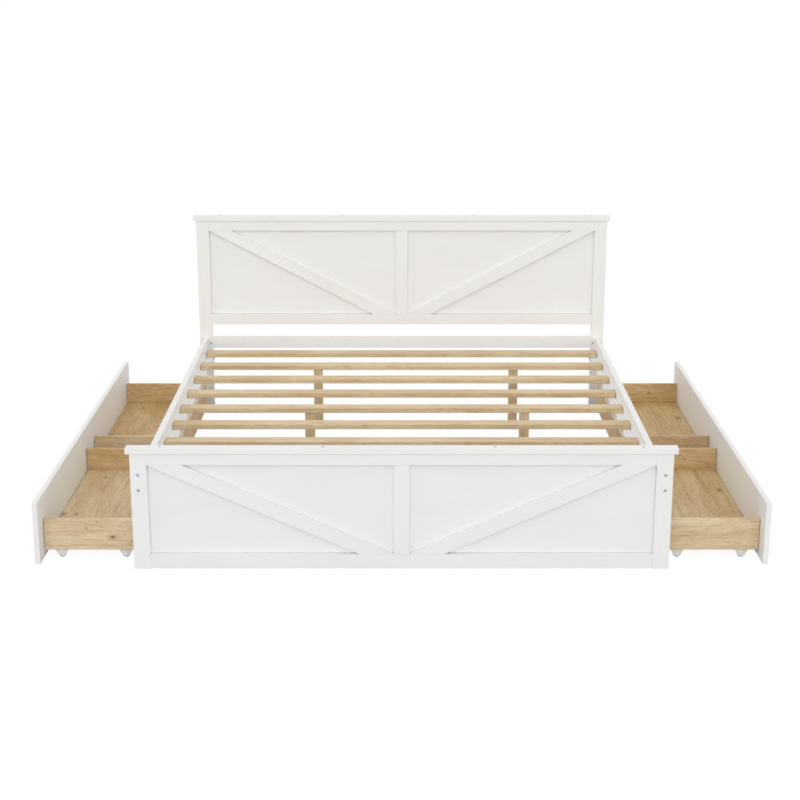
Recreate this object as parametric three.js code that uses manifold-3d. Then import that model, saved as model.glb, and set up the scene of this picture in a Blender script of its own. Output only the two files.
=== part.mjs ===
// Platform bed for a king-size mattress, with four rolling drawers below the side rails.
// Millimetres. +X runs to the right seen from the foot of the bed, +Y towards the headboard, +Z up.
// The origin is on the floor below the middle of the bed. The drawers stand pulled out.

import * as THREE from 'three';
import { mergeVertices } from 'three/addons/utils/BufferGeometryUtils.js';
import Module from 'manifold-3d';

const wasm = await Module();
wasm.setup();

// ---- driving dimensions ----

const GAP = 0.3; // air left where two pieces meet

const bed = {
  width: 2020, // over the posts
  reach: 2118, // front of the footboard to front of the headboard
  boardDepth: 27, // headboard and footboard frames, front to back
  capDepth: 42,
  capLip: 6, // how far a cap stands out in front of its posts
  postWidth: 62,
  stileWidth: 58,
  panelRecess: 16,
  panelThickness: 10.5,
  braceSetback: 0.5, // brace faces lie this far behind the rail faces
};

// Heights are given as [bottom, top].
const footboard = {
  name: 'footboard',
  capWidth: 2050,
  cap: [457.5, 481],
  topRail: [413.4, 457.5],
  bottomRail: [2.5, 58.7],
  braceCut: 130, // length of the level cut at each end of a brace
};

const headboard = {
  name: 'headboard',
  capWidth: 2044,
  cap: [961, 987],
  topRail: [913.5, 961],
  bottomRail: [439.8, 491.8],
  crossRail: [319.5, 375.5],
  braceCut: 112,
};

const rail = { outerX: 992, thickness: 25, height: [258, 372] };
const ledge = { innerX: 933, height: [276.5, 301.5] };

const slat = { count: 9, pitch: 238.2, length: 1930, width: 64, thickness: 22, edgeRadius: 2.5 };

const leg = {
  width: 42,
  columns: { left: -402, right: 537.5 },
  rows: { middle: 5, head: 8 }, // the slat that each row stands under, counted from the foot
};

const drawer = {
  openFaceX: 1392.5, // outer face of a drawer front when pulled out
  footClearance: 3, // footboard to the first front
  headClearance: 12, // last front to the headboard
  frontGap: 4, // between the two fronts of one side
  frontThickness: 20,
  frontHeight: [6.5, 252.4],
  boxLength: 878,
  boxDepth: 395,
  wall: 15,
  wallHeight: [34.5, 161],
  floorHeight: [55, 64],
  block: { length: 48, depth: 24 }, // corner blocks between the bottom board and the casters
};

const caster = {
  fromFront: [65, 312], // wheel centres behind the inner face of the drawer front
  fromSide: 17, // wheel centre inside the outer face of the box side
  wheelRadius: 15,
  wheelWidth: 14,
  wheelChamfer: 1.5,
  boreRadius: 3.3,
  axleRadius: 3,
  housingWidth: 20,
  slotWidth: 15,
  slotTop: 30.8,
  shoulder: { halfWidth: 23, height: 28 },
  toe: { halfWidth: 12, height: 8 },
};

const ROUND_SEGMENTS = 24;
const AXLE_SEGMENTS = 16;
const EDGE_SEGMENTS = 2;

// ---- places worked out from them ----

const FOOT_Y = -(bed.reach + bed.capDepth - 2 * bed.capLip) / 2; // front of the footboard posts
const HEAD_Y = FOOT_Y + bed.reach; // front of the headboard posts
const POST_INNER_X = bed.width / 2 - bed.postWidth;
const STILE_X = bed.stileWidth / 2;
const SIDES = { left: -1, right: 1 };

// ---- finishes ----

function finish(color, roughness, metalness = 0) {
  return new THREE.MeshStandardMaterial({ color, roughness, metalness });
}

const whitePaint = finish(0xf1efeb, 0.5);
const slatWood = finish(0xcfae80, 0.6);
const oakBoard = finish(0xd2ab75, 0.55);
const oakPanel = finish(0xc19a64, 0.55);
const wheelPlastic = finish(0xa9a8a5, 0.5);

// ---- making pieces ----

function addPiece(group, name, geometry, material, position = [0, 0, 0]) {
  const mesh = new THREE.Mesh(geometry, material);
  mesh.name = name;
  mesh.position.set(...position);
  group.add(mesh);
}

// A square-edged board between [low, high] limits along each axis.
function addBoard(group, name, material, xs, ys, zs) {
  const limits = [xs, ys, zs];
  const size = limits.map(([low, high]) => high - low);
  const centre = limits.map(([low, high]) => (low + high) / 2);
  addPiece(group, name, new THREE.BoxGeometry(...size), material, centre);
}

function outline(points) {
  return new THREE.Shape(points.map(([u, v]) => new THREE.Vector2(u, v)));
}

function extrude(shape, depth) {
  return new THREE.ExtrudeGeometry(shape, { depth, bevelEnabled: false, curveSegments: EDGE_SEGMENTS });
}

// An outline in X and Z, extruded towards +Y from y = 0.
function extrudeAlongY(shape, depth) {
  return extrude(shape, depth).rotateX(Math.PI / 2).translate(0, depth, 0);
}

// An outline in Y and Z, extruded towards +X from x = 0.
function extrudeAlongX(shape, depth) {
  return extrude(shape, depth).rotateX(Math.PI / 2).rotateZ(Math.PI / 2);
}

// The geometry as a solid that can be joined and cut.
function toSolid(geometry) {
  const bare = geometry.clone();
  bare.deleteAttribute('normal');
  bare.deleteAttribute('uv');
  const merged = mergeVertices(bare, 1e-3);
  return new wasm.Manifold(new wasm.Mesh({
    numProp: 3,
    vertProperties: new Float32Array(merged.attributes.position.array),
    triVerts: new Uint32Array(merged.index.array),
  }));
}

function toGeometry(solid) {
  const mesh = solid.getMesh();
  const geometry = new THREE.BufferGeometry();
  geometry.setAttribute('position', new THREE.BufferAttribute(new Float32Array(mesh.vertProperties), 3));
  geometry.setIndex(new THREE.BufferAttribute(new Uint32Array(mesh.triVerts), 1));
  geometry.computeVertexNormals();
  return geometry;
}

// ---- headboard and footboard ----

// A diagonal strip with level ends, from the outer top corner of a panel to the foot of the stile.
function braceOutline(side, braceCut, bottom, top) {
  const outer = POST_INNER_X - GAP;
  const inner = STILE_X + GAP;
  return outline([
    [side * outer, top],
    [side * (outer - braceCut), top],
    [side * inner, bottom],
    [side * (inner + braceCut), bottom],
  ]);
}

// The panel in plan, with the upright stile standing in front of its middle.
function panelOutline() {
  const half = POST_INNER_X - GAP;
  const front = bed.panelRecess;
  const back = front + bed.panelThickness;
  return outline([
    [-half, back], [-half, front], [-STILE_X, front], [-STILE_X, 0],
    [STILE_X, 0], [STILE_X, front], [half, front], [half, back],
  ]);
}

// A framed board: posts, rails, panel, braces and cap. Its local y = 0 is the front of the posts.
function makeFramedBoard(spec, y) {
  const group = new THREE.Group();
  group.position.y = y;
  const depth = [0, bed.boardDepth];
  const between = [-POST_INNER_X + GAP, POST_INNER_X - GAP];
  const capY = [-bed.capLip, bed.capDepth - bed.capLip];
  const capX = [-spec.capWidth / 2, spec.capWidth / 2];
  addBoard(group, `${spec.name}_cap`, whitePaint, capX, capY, spec.cap);

  for (const [side, sign] of Object.entries(SIDES)) {
    const xs = [sign * POST_INNER_X, sign * bed.width / 2].sort((a, b) => a - b);
    addBoard(group, `${spec.name}_post_${side}`, whitePaint, xs, depth, [0, spec.cap[0] - GAP]);
  }

  const topRail = [spec.topRail[0], spec.topRail[1] - GAP];
  addBoard(group, `${spec.name}_top_rail`, whitePaint, between, depth, topRail);
  addBoard(group, `${spec.name}_bottom_rail`, whitePaint, between, depth, spec.bottomRail);
  if (spec.crossRail) {
    addBoard(group, `${spec.name}_cross_rail`, whitePaint, between, depth, spec.crossRail);
  }

  const panelBottom = spec.bottomRail[1] + GAP;
  const panelTop = spec.topRail[0] - GAP;
  const panel = extrude(panelOutline(), panelTop - panelBottom);
  addPiece(group, `${spec.name}_panel`, panel, whitePaint, [0, 0, panelBottom]);

  const braceDepth = bed.panelRecess - bed.braceSetback - GAP;
  for (const [side, sign] of Object.entries(SIDES)) {
    const shape = braceOutline(sign, spec.braceCut, panelBottom, panelTop);
    const brace = extrudeAlongY(shape, braceDepth);
    addPiece(group, `${spec.name}_brace_${side}`, brace, whitePaint, [0, bed.braceSetback, 0]);
  }
  return group;
}

// ---- side rails, slats and legs ----

// The rail with the ledge that carries the slats.
function railOutline(sign) {
  const outer = sign * rail.outerX;
  const inner = sign * (rail.outerX - rail.thickness);
  const edge = sign * ledge.innerX;
  const [bottom, top] = rail.height;
  const [ledgeBottom, ledgeTop] = ledge.height;
  return outline([
    [outer, bottom], [outer, top], [inner, top], [inner, ledgeTop],
    [edge, ledgeTop], [edge, ledgeBottom], [inner, ledgeBottom], [inner, bottom],
  ]);
}

function makeSideRails() {
  const group = new THREE.Group();
  const start = FOOT_Y + bed.boardDepth + GAP;
  const length = HEAD_Y - GAP - start;
  for (const [side, sign] of Object.entries(SIDES)) {
    const geometry = extrudeAlongY(railOutline(sign), length);
    addPiece(group, `side_rail_${side}`, geometry, whitePaint, [0, start, 0]);
  }
  return group;
}

// A rectangle with rounded corners, centred on the origin.
function roundedRectangle(width, height, radius) {
  const shape = new THREE.Shape();
  const u = width / 2 - radius;
  const v = height / 2 - radius;
  shape.moveTo(u, -v - radius);
  shape.absarc(u, -v, radius, -Math.PI / 2, 0);
  shape.absarc(u, v, radius, 0, Math.PI / 2);
  shape.absarc(-u, v, radius, Math.PI / 2, Math.PI);
  shape.absarc(-u, -v, radius, Math.PI, 1.5 * Math.PI);
  return shape;
}

function slatY(number) {
  const middle = (FOOT_Y + bed.boardDepth + HEAD_Y) / 2;
  return middle + (number - (slat.count + 1) / 2) * slat.pitch;
}

function makeSlats() {
  const group = new THREE.Group();
  const section = roundedRectangle(slat.width, slat.thickness, slat.edgeRadius);
  const geometry = extrudeAlongX(section, slat.length).translate(-slat.length / 2, 0, 0);
  const z = ledge.height[1] + GAP + slat.thickness / 2;
  for (let number = 1; number <= slat.count; number += 1) {
    addPiece(group, `slat_${number}`, geometry, slatWood, [0, slatY(number), z]);
  }
  return group;
}

function makeLegs() {
  const group = new THREE.Group();
  const half = leg.width / 2;
  for (const [row, number] of Object.entries(leg.rows)) {
    const y = slatY(number);
    for (const [side, x] of Object.entries(leg.columns)) {
      const limits = [[x - half, x + half], [y - half, y + half], [0, ledge.height[1]]];
      addBoard(group, `leg_${row}_${side}`, slatWood, ...limits);
    }
  }
  return group;
}

// ---- drawers ----
// A drawer's own frame has x = 0 on the outer face of its front and y = 0 at its middle.
// Distances behind that face run towards the bed, so they are multiplied by minus the side's sign.

function sorted(a, b) {
  return a < b ? [a, b] : [b, a];
}

// The two sides and the back of the box in plan.
function boxOutline(inward) {
  const start = inward * (drawer.frontThickness + GAP);
  const end = inward * (drawer.frontThickness + drawer.boxDepth);
  const innerEnd = end - inward * drawer.wall;
  const outer = drawer.boxLength / 2;
  const inner = outer - drawer.wall;
  return outline([
    [start, -outer], [end, -outer], [end, outer], [start, outer],
    [start, inner], [innerEnd, inner], [innerEnd, -inner], [start, -inner],
  ]);
}

// The side view of a caster housing, centred on its wheel.
function housingOutline() {
  const { toe, shoulder } = caster;
  const top = drawer.wallHeight[0] - GAP;
  return outline([
    [-toe.halfWidth, toe.height], [toe.halfWidth, toe.height],
    [shoulder.halfWidth, shoulder.height], [shoulder.halfWidth, top],
    [-shoulder.halfWidth, top], [-shoulder.halfWidth, shoulder.height],
  ]);
}

// A housing with its wheel slot and its axle, centred on the wheel at y = 0.
function housingSolid() {
  const { housingWidth, slotWidth, slotTop, shoulder } = caster;
  const body = extrudeAlongY(housingOutline(), housingWidth).translate(0, -housingWidth / 2, 0);
  const slot = new THREE.BoxGeometry(4 * shoulder.halfWidth, slotWidth, 2 * slotTop);
  const axleLength = (housingWidth + slotWidth) / 2;
  const axle = new THREE.CylinderGeometry(
    caster.axleRadius, caster.axleRadius, axleLength, AXLE_SEGMENTS,
  ).translate(0, 0, caster.wheelRadius);
  return toSolid(body).subtract(toSolid(slot)).add(toSolid(axle));
}

function wheelGeometry() {
  const { wheelRadius, wheelWidth, wheelChamfer, boreRadius } = caster;
  const half = wheelWidth / 2;
  const profile = [
    [boreRadius, -half], [wheelRadius - wheelChamfer, -half], [wheelRadius, -half + wheelChamfer],
    [wheelRadius, half - wheelChamfer], [wheelRadius - wheelChamfer, half], [boreRadius, half],
    [boreRadius, -half],
  ];
  const points = profile.map(([r, y]) => new THREE.Vector2(r, y));
  return new THREE.LatheGeometry(points, ROUND_SEGMENTS);
}

// Wheel centres in the drawer's frame: front pair first, the foot side of each pair first.
function wheelPlaces(inward) {
  const y = drawer.boxLength / 2 - caster.fromSide;
  return caster.fromFront.flatMap((distance) => {
    const x = inward * (drawer.frontThickness + distance);
    return [[x, -y], [x, y]];
  });
}

// The block glued into a corner under the bottom board, above the caster at [x, y].
function blockSolid([x, y]) {
  const { block } = drawer;
  const overlap = 1; // sinks into the housing below and the board above
  const bottom = drawer.wallHeight[0] - GAP - overlap;
  const height = drawer.floorHeight[0] + overlap - bottom;
  const outer = drawer.boxLength / 2 - drawer.wall - GAP;
  const middle = Math.sign(y) * (outer - block.depth / 2);
  const box = new THREE.BoxGeometry(block.length, block.depth, height);
  return toSolid(box.translate(x, middle, bottom + height / 2));
}

// The bottom board with a corner block and a caster housing at each corner.
function baseGeometry(inward, housing) {
  const depth = drawer.boxDepth - drawer.wall - 2 * GAP;
  const length = drawer.boxLength - 2 * (drawer.wall + GAP);
  const [bottom, top] = drawer.floorHeight;
  const middle = inward * (drawer.frontThickness + GAP + depth / 2);
  const floor = new THREE.BoxGeometry(depth, length, top - bottom).translate(middle, 0, (bottom + top) / 2);
  const base = wheelPlaces(inward).reduce(
    (solid, [x, y]) => solid.add(blockSolid([x, y])).add(housing.translate([x, y, 0])),
    toSolid(floor),
  );
  return toGeometry(base);
}

function makeDrawer(name, sign, y, frontLength, housing, wheel) {
  const group = new THREE.Group();
  group.position.set(sign * drawer.openFaceX, y, 0);
  const inward = -sign;
  const frontX = sorted(0, inward * drawer.frontThickness);
  const frontY = [-frontLength / 2, frontLength / 2];
  addBoard(group, `${name}_front`, whitePaint, frontX, frontY, drawer.frontHeight);

  const [wallBottom, wallTop] = drawer.wallHeight;
  const box = extrude(boxOutline(inward), wallTop - wallBottom);
  addPiece(group, `${name}_box`, box, oakBoard, [0, 0, wallBottom]);
  addPiece(group, `${name}_base`, baseGeometry(inward, housing), oakPanel);

  wheelPlaces(inward).forEach(([x, wheelY], index) => {
    addPiece(group, `${name}_wheel_${index + 1}`, wheel, wheelPlastic, [x, wheelY, caster.wheelRadius]);
  });
  return group;
}

function makeDrawers() {
  const group = new THREE.Group();
  const start = FOOT_Y + bed.boardDepth + drawer.footClearance;
  const span = HEAD_Y - drawer.headClearance - start;
  const frontLength = (span - drawer.frontGap) / 2;
  const rows = {
    foot: start + frontLength / 2,
    head: start + span - frontLength / 2,
  };
  const housing = housingSolid();
  const wheel = wheelGeometry();
  for (const [side, sign] of Object.entries(SIDES)) {
    for (const [row, y] of Object.entries(rows)) {
      group.add(makeDrawer(`drawer_${side}_${row}`, sign, y, frontLength, housing, wheel));
    }
  }
  return group;
}

// ---- the bed ----

const model = new THREE.Group();
model.add(
  makeFramedBoard(footboard, FOOT_Y),
  makeFramedBoard(headboard, HEAD_Y),
  makeSideRails(),
  makeSlats(),
  makeLegs(),
  makeDrawers(),
);

export default model;
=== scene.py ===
"""Platform bed with rolling storage drawers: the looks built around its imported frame.

Every board, moulding and fastener is a surface worked out with numpy from the frame's own boxes. Metres,
+X to the right seen from the foot of the bed, +Y towards the headboard, +Z up, floor at z = 0.
"""

from __future__ import annotations

import logging
import math
from dataclasses import dataclass, field, replace
from enum import Enum
from typing import Any, Iterable, Sequence

import bpy
import numpy as np
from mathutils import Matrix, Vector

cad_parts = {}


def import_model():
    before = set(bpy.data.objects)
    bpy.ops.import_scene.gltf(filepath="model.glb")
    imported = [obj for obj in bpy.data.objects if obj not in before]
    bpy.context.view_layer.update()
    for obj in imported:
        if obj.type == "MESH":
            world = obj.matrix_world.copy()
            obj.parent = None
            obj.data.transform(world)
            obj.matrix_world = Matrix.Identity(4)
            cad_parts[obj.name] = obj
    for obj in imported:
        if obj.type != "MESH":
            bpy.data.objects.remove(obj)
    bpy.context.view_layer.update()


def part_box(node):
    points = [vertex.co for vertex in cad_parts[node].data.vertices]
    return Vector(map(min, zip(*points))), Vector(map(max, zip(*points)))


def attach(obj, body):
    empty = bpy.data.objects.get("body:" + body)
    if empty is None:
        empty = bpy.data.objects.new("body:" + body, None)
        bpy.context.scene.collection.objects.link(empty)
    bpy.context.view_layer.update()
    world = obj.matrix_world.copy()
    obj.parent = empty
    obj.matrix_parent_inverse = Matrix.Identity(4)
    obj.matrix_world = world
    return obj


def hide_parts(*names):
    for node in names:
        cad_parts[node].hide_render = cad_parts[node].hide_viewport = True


log = logging.getLogger("bed")

MM = 0.001
GRAIN = "grain"  # the point attribute that carries each board's place in its log
BED = "bed_frame"  # the body of everything that stands still

Vec = tuple[float, float, float]


class Axis(Enum):
    """A direction that a board or a turned piece is laid along."""

    X = 0
    Y = 1
    Z = 2


class Side(Enum):
    """Left or right of the bed, seen from its foot."""

    LEFT = -1
    RIGHT = 1

    @property
    def word(self) -> str:
        """The side's name as the frame's nodes use it."""
        return self.name.lower()


class Sawing(Enum):
    """Where the log's heart lies from the middle of a board: across its face and below it, in metres."""

    FLAT = (0.012, -0.055)
    WIDE = (0.03, -0.11)
    RIFT = (0.07, -0.06)
    QUARTER = (0.16, -0.012)


def corners(node: str) -> tuple[np.ndarray, np.ndarray]:
    """A node's lowest and highest corners as arrays."""
    low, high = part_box(node)
    return np.array(low, float), np.array(high, float)


def triple(values: Iterable[float]) -> Vec:
    """Three numbers as a plain tuple."""
    x, y, z = (float(value) for value in values)
    return (x, y, z)


# ---- surfaces ----


@dataclass(frozen=True)
class Surface:
    """The points of a mesh, its faces and which of them shade smooth."""

    points: np.ndarray
    faces: list[tuple[int, ...]]
    smooth: np.ndarray

    def joined(self, other: Surface) -> Surface:
        """This surface and another as one mesh.

        Args:
            other: the surface to add.

        Returns:
            Both surfaces, side by side in one set of arrays.
        """
        start = len(self.points)
        moved = [tuple(index + start for index in face) for face in other.faces]
        points = np.concatenate([self.points, other.points])
        return Surface(points, self.faces + moved, np.concatenate([self.smooth, other.smooth]))


def to_axis(u: np.ndarray, v: np.ndarray, w: np.ndarray, along: Axis) -> np.ndarray:
    """Places local coordinates so that w runs along an axis and (u, v, w) stays right-handed.

    Args:
        u: first coordinate across.
        v: second coordinate across.
        w: coordinate along.
        along: the axis that w follows.

    Returns:
        Points in X, Y and Z on the last dimension.
    """
    local = np.stack(np.broadcast_arrays(u, v, w), axis=-1)
    return np.roll(local, along.value + 1, axis=-1)


def ring_faces(rings: int, count: int, closed: bool) -> np.ndarray:
    """Quads between rings of equal length that each close on themselves.

    Args:
        rings: how many rings there are.
        count: points in each ring.
        closed: whether the last ring joins the first.

    Returns:
        An array of point indices, one row of four for each quad.
    """
    i, j = np.meshgrid(np.arange(rings if closed else rings - 1), np.arange(count), indexing="ij")
    after_i, after_j = (i + 1) % rings, (j + 1) % count
    corners = (i * count + j, i * count + after_j, after_i * count + after_j, after_i * count + j)
    return np.stack(corners, axis=-1).reshape(-1, 4)


def eased_board(
    low: Vec, high: Vec, along: Axis, ease: float, lean: float = 0.0, steps: int = 3,
) -> Surface:
    """A board with rounded edges.

    Its cross-section is a rectangle whose corners are arcs of radius ease. The section is carried along the
    board; near each end it shrinks by ease * (1 - sin t) while it moves by ease * (1 - cos t), which rounds
    the ends too. With a lean, x shifts by lean * (z - middle height), which makes a slanting strip with
    level ends.

    Args:
        low: lowest corner.
        high: highest corner.
        along: the axis that the section is carried along.
        ease: radius of the edges.
        lean: metres of X for each metre of Z.
        steps: segments in each arc.

    Returns:
        The closed surface.
    """
    lower, upper = np.asarray(low, float), np.asarray(high, float)
    half = np.roll((upper - lower) / 2, -along.value - 1)
    turn = np.linspace(0, math.pi / 2, steps + 1)
    quarter = np.arange(4)[:, None] * math.pi / 2
    angle = (quarter + turn).ravel()
    sign_u = np.repeat([1, -1, -1, 1], steps + 1)
    sign_v = np.repeat([1, 1, -1, -1], steps + 1)
    end_ease = 0.8 * ease
    inset = end_ease * (1 - np.sin(turn))
    offset = end_ease * (1 - np.cos(turn))
    inset = np.concatenate([inset, inset[::-1]])[:, None]
    w = np.concatenate([-half[2] + offset, half[2] - offset[::-1]])[:, None]
    u = sign_u * (half[0] - ease) + (ease - inset) * np.cos(angle)
    v = sign_v * (half[1] - ease) + (ease - inset) * np.sin(angle)
    points = to_axis(u, v, w, along)
    points[..., 0] += lean * points[..., 2]
    points += (lower + upper) / 2
    rings, count = points.shape[:2]
    sides = ring_faces(rings, count, closed=False)
    ring, place = np.divmod(np.arange(len(sides)), count)
    on_arc = (place % (steps + 1) != steps) | (ring != steps)
    last = (rings - 1) * count
    caps = [tuple(range(count - 1, -1, -1)), tuple(range(last, last + count))]
    faces = [tuple(quad) for quad in sides.tolist()] + caps
    return Surface(points.reshape(-1, 3), faces, np.append(on_arc, [False, False]))


def turned(profile: np.ndarray, along: Axis, centre: Vec, segments: int = 40) -> Surface:
    """A turned piece: a closed profile of (radius, height) carried round an axis.

    Args:
        profile: points of the profile, one row of (radius, height) each, in order round its closed loop.
        along: the axis it is turned about, which its heights follow.
        centre: where radius and height are zero.
        segments: steps round the axis.

    Returns:
        The closed surface, a ring torus in its topology.
    """
    angle = np.linspace(0, 2 * math.pi, segments, endpoint=False)[:, None]
    radius, height = profile[:, 0], profile[:, 1]
    points = to_axis(radius * np.cos(angle), radius * np.sin(angle), height, along) + np.asarray(centre)
    quads = ring_faces(segments, len(profile), closed=True)
    faces = [tuple(quad) for quad in quads.tolist()]
    return Surface(points.reshape(-1, 3), faces, np.ones(len(quads), bool))


def domed(
    stations: np.ndarray, along: Axis, facing: int, seat: Vec, hexagon: int = 0, segments: int = 36,
) -> Surface:
    """A head or plug: rings of (radius, height) from the middle of its face out to its back edge.

    The first rings may be pulled into a hexagon, where the radius is multiplied by
    cos(30 deg) / cos(angle within each 60 degree sector - 30 deg).

    Args:
        stations: rows of (radius, height above the seat), from the middle outwards and down.
        along: the axis it stands up on.
        facing: +1 or -1, which way along the axis it stands.
        seat: where its axis meets the surface that it sits on.
        hexagon: how many of the first rings are hexagonal.
        segments: steps round the axis.

    Returns:
        The closed surface, with a face across its middle and one across its back.
    """
    angle = np.linspace(0, 2 * math.pi, segments, endpoint=False)[None, :]
    sector = np.mod(angle, math.pi / 3) - math.pi / 6
    flat_sided = math.cos(math.pi / 6) / np.cos(sector)
    shape = np.where(np.arange(len(stations))[:, None] < hexagon, flat_sided, 1.0)
    radius = stations[:, :1] * shape
    points = to_axis(radius * np.cos(angle), radius * np.sin(angle), stations[:, 1:], along)
    if facing < 0:
        points[..., along.value] *= -1
        points = points[:, ::-1]
    points = points + np.asarray(seat)
    rings, count = points.shape[:2]
    sides = ring_faces(rings, count, closed=False)[:, ::-1]
    last = (rings - 1) * count
    caps = [tuple(range(count)), tuple(range(last + count - 1, last - 1, -1))]
    faces = [tuple(quad) for quad in sides.tolist()] + caps
    smooth = np.append(np.arange(len(sides)) // count >= hexagon, [False, False])
    return Surface(points.reshape(-1, 3), faces, smooth)


# ---- finishes ----


class Graph:
    """A short way to write a material's nodes."""

    def __init__(self, name: str) -> None:
        """Starts a material with a Principled shader.

        Args:
            name: the material's name.
        """
        self.material = bpy.data.materials.new(name)
        self.material.use_nodes = True
        self.tree = self.material.node_tree
        self.shader = next(node for node in self.tree.nodes if node.type == "BSDF_PRINCIPLED")

    def node(self, kind: str, inputs: dict[Any, Any], **settings: Any) -> bpy.types.Node:
        """Adds a node.

        Args:
            kind: the node's type name without its ShaderNode prefix.
            inputs: input name or number to a socket or a constant.
            settings: the node's own properties.

        Returns:
            The node.
        """
        node = self.tree.nodes.new("ShaderNode" + kind)
        for key, value in settings.items():
            setattr(node, key, value)
        for key, value in inputs.items():
            self.feed(node.inputs[key], value)
        return node

    def feed(self, socket: bpy.types.NodeSocket, value: Any) -> None:
        """Links a socket, or sets its constant.

        Args:
            socket: the input.
            value: an output socket or a constant.
        """
        if isinstance(value, bpy.types.NodeSocket):
            self.tree.links.new(value, socket)
        else:
            socket.default_value = value

    def math(self, operation: str, first: Any, second: Any = 0.0) -> bpy.types.NodeSocket:
        """The result of a Math node on two values."""
        return self.node("Math", {0: first, 1: second}, operation=operation).outputs[0]

    def vector(self, operation: str, first: Any, second: Any) -> bpy.types.NodeSocket:
        """The vector result of a Vector Math node."""
        return self.node("VectorMath", {0: first, 1: second}, operation=operation).outputs["Vector"]

    def distance(self, first: Any, second: Any) -> bpy.types.NodeSocket:
        """The distance between two points."""
        return self.node("VectorMath", {0: first, 1: second}, operation="DISTANCE").outputs["Value"]

    def noise(self, place: Any, stretch: Vec, detail: float = 2.0, rough: float = 0.5) -> bpy.types.Node:
        """A noise whose size along each axis is one over the stretch.

        Args:
            place: the coordinates.
            stretch: cycles for each metre along X, Y and Z.
            detail: octaves.
            rough: how strong the finer octaves are.

        Returns:
            The noise node, with Fac and Color outputs.
        """
        scaled = self.vector("MULTIPLY", place, stretch)
        return self.node("TexNoise", {"Vector": scaled, "Scale": 1.0, "Detail": detail, "Roughness": rough})

    def range(
        self, value: Any, start: float, end: float, low: float = 0.0, high: float = 1.0,
    ) -> bpy.types.NodeSocket:
        """A value moved smoothly from one range into another and held at its ends."""
        inputs = {"Value": value, "From Min": start, "From Max": end, "To Min": low, "To Max": high}
        return self.node("MapRange", inputs, interpolation_type="SMOOTHSTEP").outputs["Result"]

    def blend(self, factor: Any, first: Any, second: Any, how: str = "MIX") -> bpy.types.NodeSocket:
        """One colour mixed with another.

        Args:
            factor: how much of the second colour.
            first: the first colour.
            second: the second colour.
            how: the blend type.

        Returns:
            The mixed colour.
        """
        node = self.node("Mix", {}, data_type="RGBA", blend_type=how)
        self.feed(node.inputs[0], factor)
        self.feed(node.inputs[6], first)
        self.feed(node.inputs[7], second)
        return node.outputs[2]

    def ramp(self, value: Any, stops: Sequence[tuple[float, Sequence[float]]]) -> bpy.types.NodeSocket:
        """A colour read from a ramp.

        Args:
            value: the place on the ramp, from 0 to 1.
            stops: pairs of place and colour.

        Returns:
            The colour.
        """
        node = self.node("ValToRGB", {0: value})
        elements = node.color_ramp.elements
        while len(elements) < len(stops):
            elements.new(1.0)
        for element, (place, colour) in zip(elements, stops):
            element.position = place
            element.color = (*colour, 1.0)
        return node.outputs["Color"]

    def grain(self) -> bpy.types.NodeSocket:
        """The board's place in its log: along, across and through, in metres."""
        return self.node("Attribute", {}, attribute_name=GRAIN).outputs["Vector"]

    def finish(self, **inputs: Any) -> bpy.types.Material:
        """Feeds the shader and gives the material back.

        Args:
            inputs: the shader's inputs, with underscores for spaces.

        Returns:
            The material.
        """
        for key, value in inputs.items():
            self.feed(self.shader.inputs[key.replace("_", " ")], value)
        return self.material

    def bump(
        self, height: Any, distance: float, strength: float, under: Any = None,
    ) -> bpy.types.NodeSocket:
        """A bumped normal.

        Args:
            height: the height, from 0 to 1.
            distance: how high 1 stands, in metres.
            strength: how strongly it shows.
            under: a normal to add to.

        Returns:
            The normal.
        """
        inputs = {"Height": height, "Distance": distance, "Strength": strength}
        if under is not None:
            inputs["Normal"] = under
        return self.node("Bump", inputs).outputs["Normal"]


def rgb(red: float, green: float, blue: float) -> tuple[float, float, float, float]:
    """A linear colour with full alpha."""
    return (red, green, blue, 1.0)


@dataclass(frozen=True)
class Paint:
    """Satin white paint sprayed on board: faint roller texture, the grain just telling through."""

    name: str = "white_paint"
    slot: str = "white_paint"
    colour: Vec = (0.878, 0.878, 0.868)
    shade: Vec = (0.862, 0.860, 0.848)
    roughness: float = 0.5
    specular: float = 0.25

    def build(self) -> bpy.types.Material:
        """Makes the material from cloudy tone, long faint grain lines and a fine sprayed texture.

        Returns:
            The material.
        """
        g = Graph(self.name)
        place = g.grain()
        cloud = g.noise(place, (2.2, 5.0, 5.0), 3.0)
        lines = g.noise(place, (5.0, 190.0, 190.0), 3.0, 0.6)
        spray = g.noise(place, (620.0, 620.0, 620.0), 2.0, 0.6)
        tone = g.range(cloud.outputs[0], 0.3, 0.7)
        colour = g.blend(tone, rgb(*self.colour), rgb(*self.shade))
        line = g.range(lines.outputs[0], 0.35, 0.62, 0.988, 1.0)
        colour = g.blend(1.0, colour, line, "MULTIPLY")
        rough = g.range(lines.outputs[0], 0.3, 0.7, self.roughness + 0.06, self.roughness - 0.05)
        normal = g.bump(lines.outputs[0], 0.08 * MM, 0.25)
        normal = g.bump(spray.outputs[0], 0.05 * MM, 0.25, normal)
        shine = self.specular
        return g.finish(Base_Color=colour, Roughness=rough, Specular_IOR_Level=shine, Normal=normal)


@dataclass(frozen=True)
class Knot:
    """A knot in a board: its place along and across from the board's middle, and its radius, in metres."""

    along: float
    across: float
    radius: float


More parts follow.
